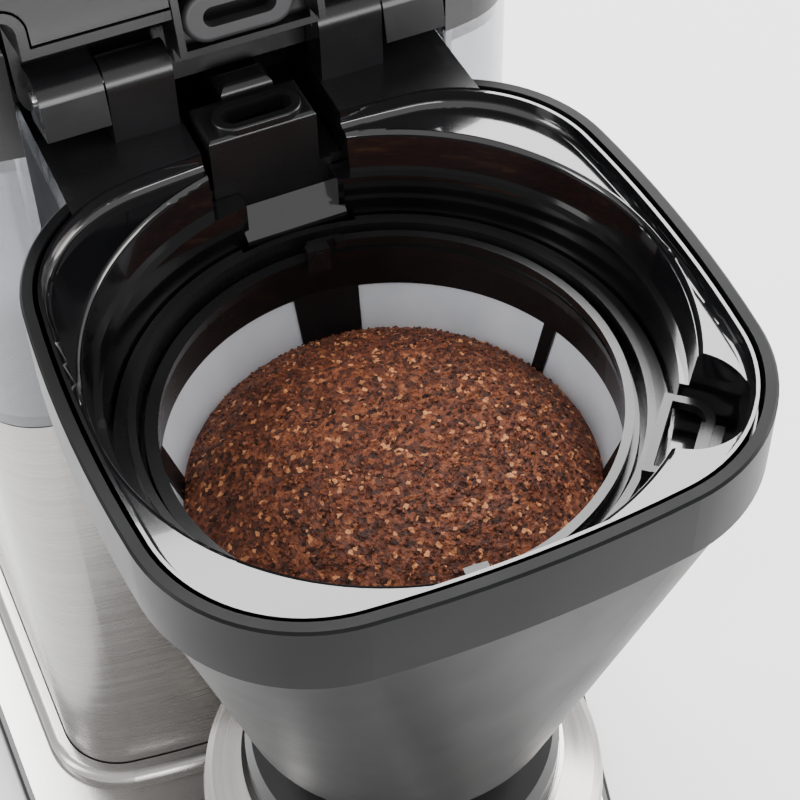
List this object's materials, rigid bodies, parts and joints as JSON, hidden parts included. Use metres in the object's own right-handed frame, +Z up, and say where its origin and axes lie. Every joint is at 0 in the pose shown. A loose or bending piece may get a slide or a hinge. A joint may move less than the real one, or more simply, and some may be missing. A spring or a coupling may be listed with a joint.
{
  "type": "drip coffee maker",
  "caption": "Drip coffee maker with a wrap-round water tank, a flip-up lid, a lift-out basket and reusable filter, and a thermal carafe.",
  "frame": {"origin": "on the table, under the middle of the whole machine", "axes": "+Z up, -Y towards the front (carafe side), +X to the machine's right seen from the front"},
  "size_m": [0.21, 0.353, 0.5021],
  "materials": {
    "steel_brushed": "brushed satin",
    "steel_small": "bright",
    "black_gloss": "polished black",
    "black_satin": "fine satin",
    "charcoal_matte": "matte charcoal",
    "tank_clear": "clear, smoke tinted",
    "silver_trim": "satin silver",
    "rubber_black": "matte",
    "silicone_black": "satin",
    "silicone_clear": "milky",
    "heater_alloy": "as cast",
    "board_green": "solder mask",
    "white_plastic": "satin",
    "lens_blue": "translucent",
    "mesh_steel": "fine woven mesh",
    "ground_coffee": "coarse grounds"
  },
  "bodies": {
    "machine": {"base_tray": "black_satin", "base_plate": "steel_brushed", "rubber_feet": "rubber_black", "base_screws": "steel_small", "control_panel": "black_gloss", "indicator_lens": "lens_blue", "circuit_board": "board_green", "cord_gland": "black_satin", "carafe_rest": "black_satin", "tower_sleeve": "steel_brushed", "back_cover": "black_satin", "back_cover_screws": "steel_small", "tower_frame": "black_satin", "heater_block": "heater_alloy", "heating_element": "steel_small", "water_tube": "steel_small", "thermostat": "steel_small", "thermal_fuse": "white_plastic", "check_valve": "white_plastic", "feed_hoses": "silicone_clear", "riser_hose": "silicone_clear", "hose_clamps": "steel_small", "head_screws": "steel_small", "water_tank": "tank_clear", "tank_collar": "black_satin", "tank_deck": "black_satin", "tank_flap_pin": "steel_small", "tank_strainer": "white_plastic", "tank_seal": "silicone_black", "head_shell": "charcoal_matte", "head_bowl": "black_gloss", "hinge_block": "black_satin", "hinge_pins": "steel_small", "port_block": "black_satin"},
    "lid": {"lid_cover": "black_satin", "lid_liner": "black_gloss", "lid_duct": "black_satin", "lid_gasket": "silicone_black", "shower_head": "black_gloss", "lid_screws": "steel_small"},
    "tank_lid": {"tank_flap": "silver_trim"},
    "basket": {"brew_basket": "black_satin", "basket_rim": "black_satin", "basket_grip": "black_satin", "drip_spring": "steel_small"},
    "drip_stop": {"drip_valve": "silicone_black"},
    "filter": {"filter_frame": "black_satin", "filter_mesh": "mesh_steel", "coffee_grounds": "ground_coffee"},
    "bail": {"bail_handle": "black_satin"},
    "carafe": {"carafe_body": "steel_brushed", "carafe_liner": "steel_brushed", "carafe_foot": "black_satin", "carafe_handle": "black_satin", "handle_screws": "steel_small"},
    "carafe_cap": {"carafe_lid": "black_satin", "carafe_lid_seal": "silicone_black"},
    "power_key": {"power_button": "silver_trim"},
    "batch_key": {"batch_size_button": "silver_trim"},
    "valve_ball": {"check_ball": "steel_small"}
  },
  "joints": [
    {"name": "lid_hinge", "type": "hinge", "parent": "machine", "child": "lid", "pos_m": [0, 0.016, 0.337], "axis": [-1, 0, 0], "range_deg": [-102, 0]},
    {"name": "tank_lid_hinge", "type": "hinge", "parent": "machine", "child": "tank_lid", "pos_m": [0, 0.152, 0.3494], "axis": [-1, 0, 0], "range_deg": [0, 95]},
    {"name": "basket_lift", "type": "slide", "parent": "machine", "child": "basket", "axis": [0, 0, 1], "range_m": [0, 0.13]},
    {"name": "drip_stop_lift", "type": "slide", "parent": "basket", "child": "drip_stop", "axis": [0, 0, 1], "range_m": [0, 0.003], "stiffness_N_per_m": 300, "springref_m": -0.001, "deforming": ["drip_spring"]},
    {"name": "filter_lift", "type": "slide", "parent": "basket", "child": "filter", "axis": [0, 0, 1], "range_m": [0, 0.09]},
    {"name": "bail_swing", "type": "hinge", "parent": "filter", "child": "bail", "pos_m": [0, -0.074, 0.2938], "axis": [-0.0698, -0.9976, 0], "range_deg": [0, 90]},
    {"name": "carafe_slide", "type": "slide", "parent": "machine", "child": "carafe", "axis": [0, -1, 0], "range_m": [0, 0.18]},
    {"name": "carafe_cap_twist", "type": "hinge", "parent": "carafe", "child": "carafe_cap", "pos_m": [0, -0.074, 0.145], "axis": [0, 0, 1], "range_deg": [0, 60]},
    {"name": "power_press", "type": "slide", "parent": "machine", "child": "power_key", "axis": [0, 1, 0], "range_m": [0, 0.0015], "stiffness_N_per_m": 400, "springref_m": -0.0005},
    {"name": "batch_press", "type": "slide", "parent": "machine", "child": "batch_key", "axis": [0, 1, 0], "range_m": [0, 0.0015], "stiffness_N_per_m": 400, "springref_m": -0.0005},
    {"name": "check_ball_lift", "type": "slide", "parent": "machine", "child": "valve_ball", "axis": [0, 0, 1], "range_m": [0, 0.0055]}
  ]
}
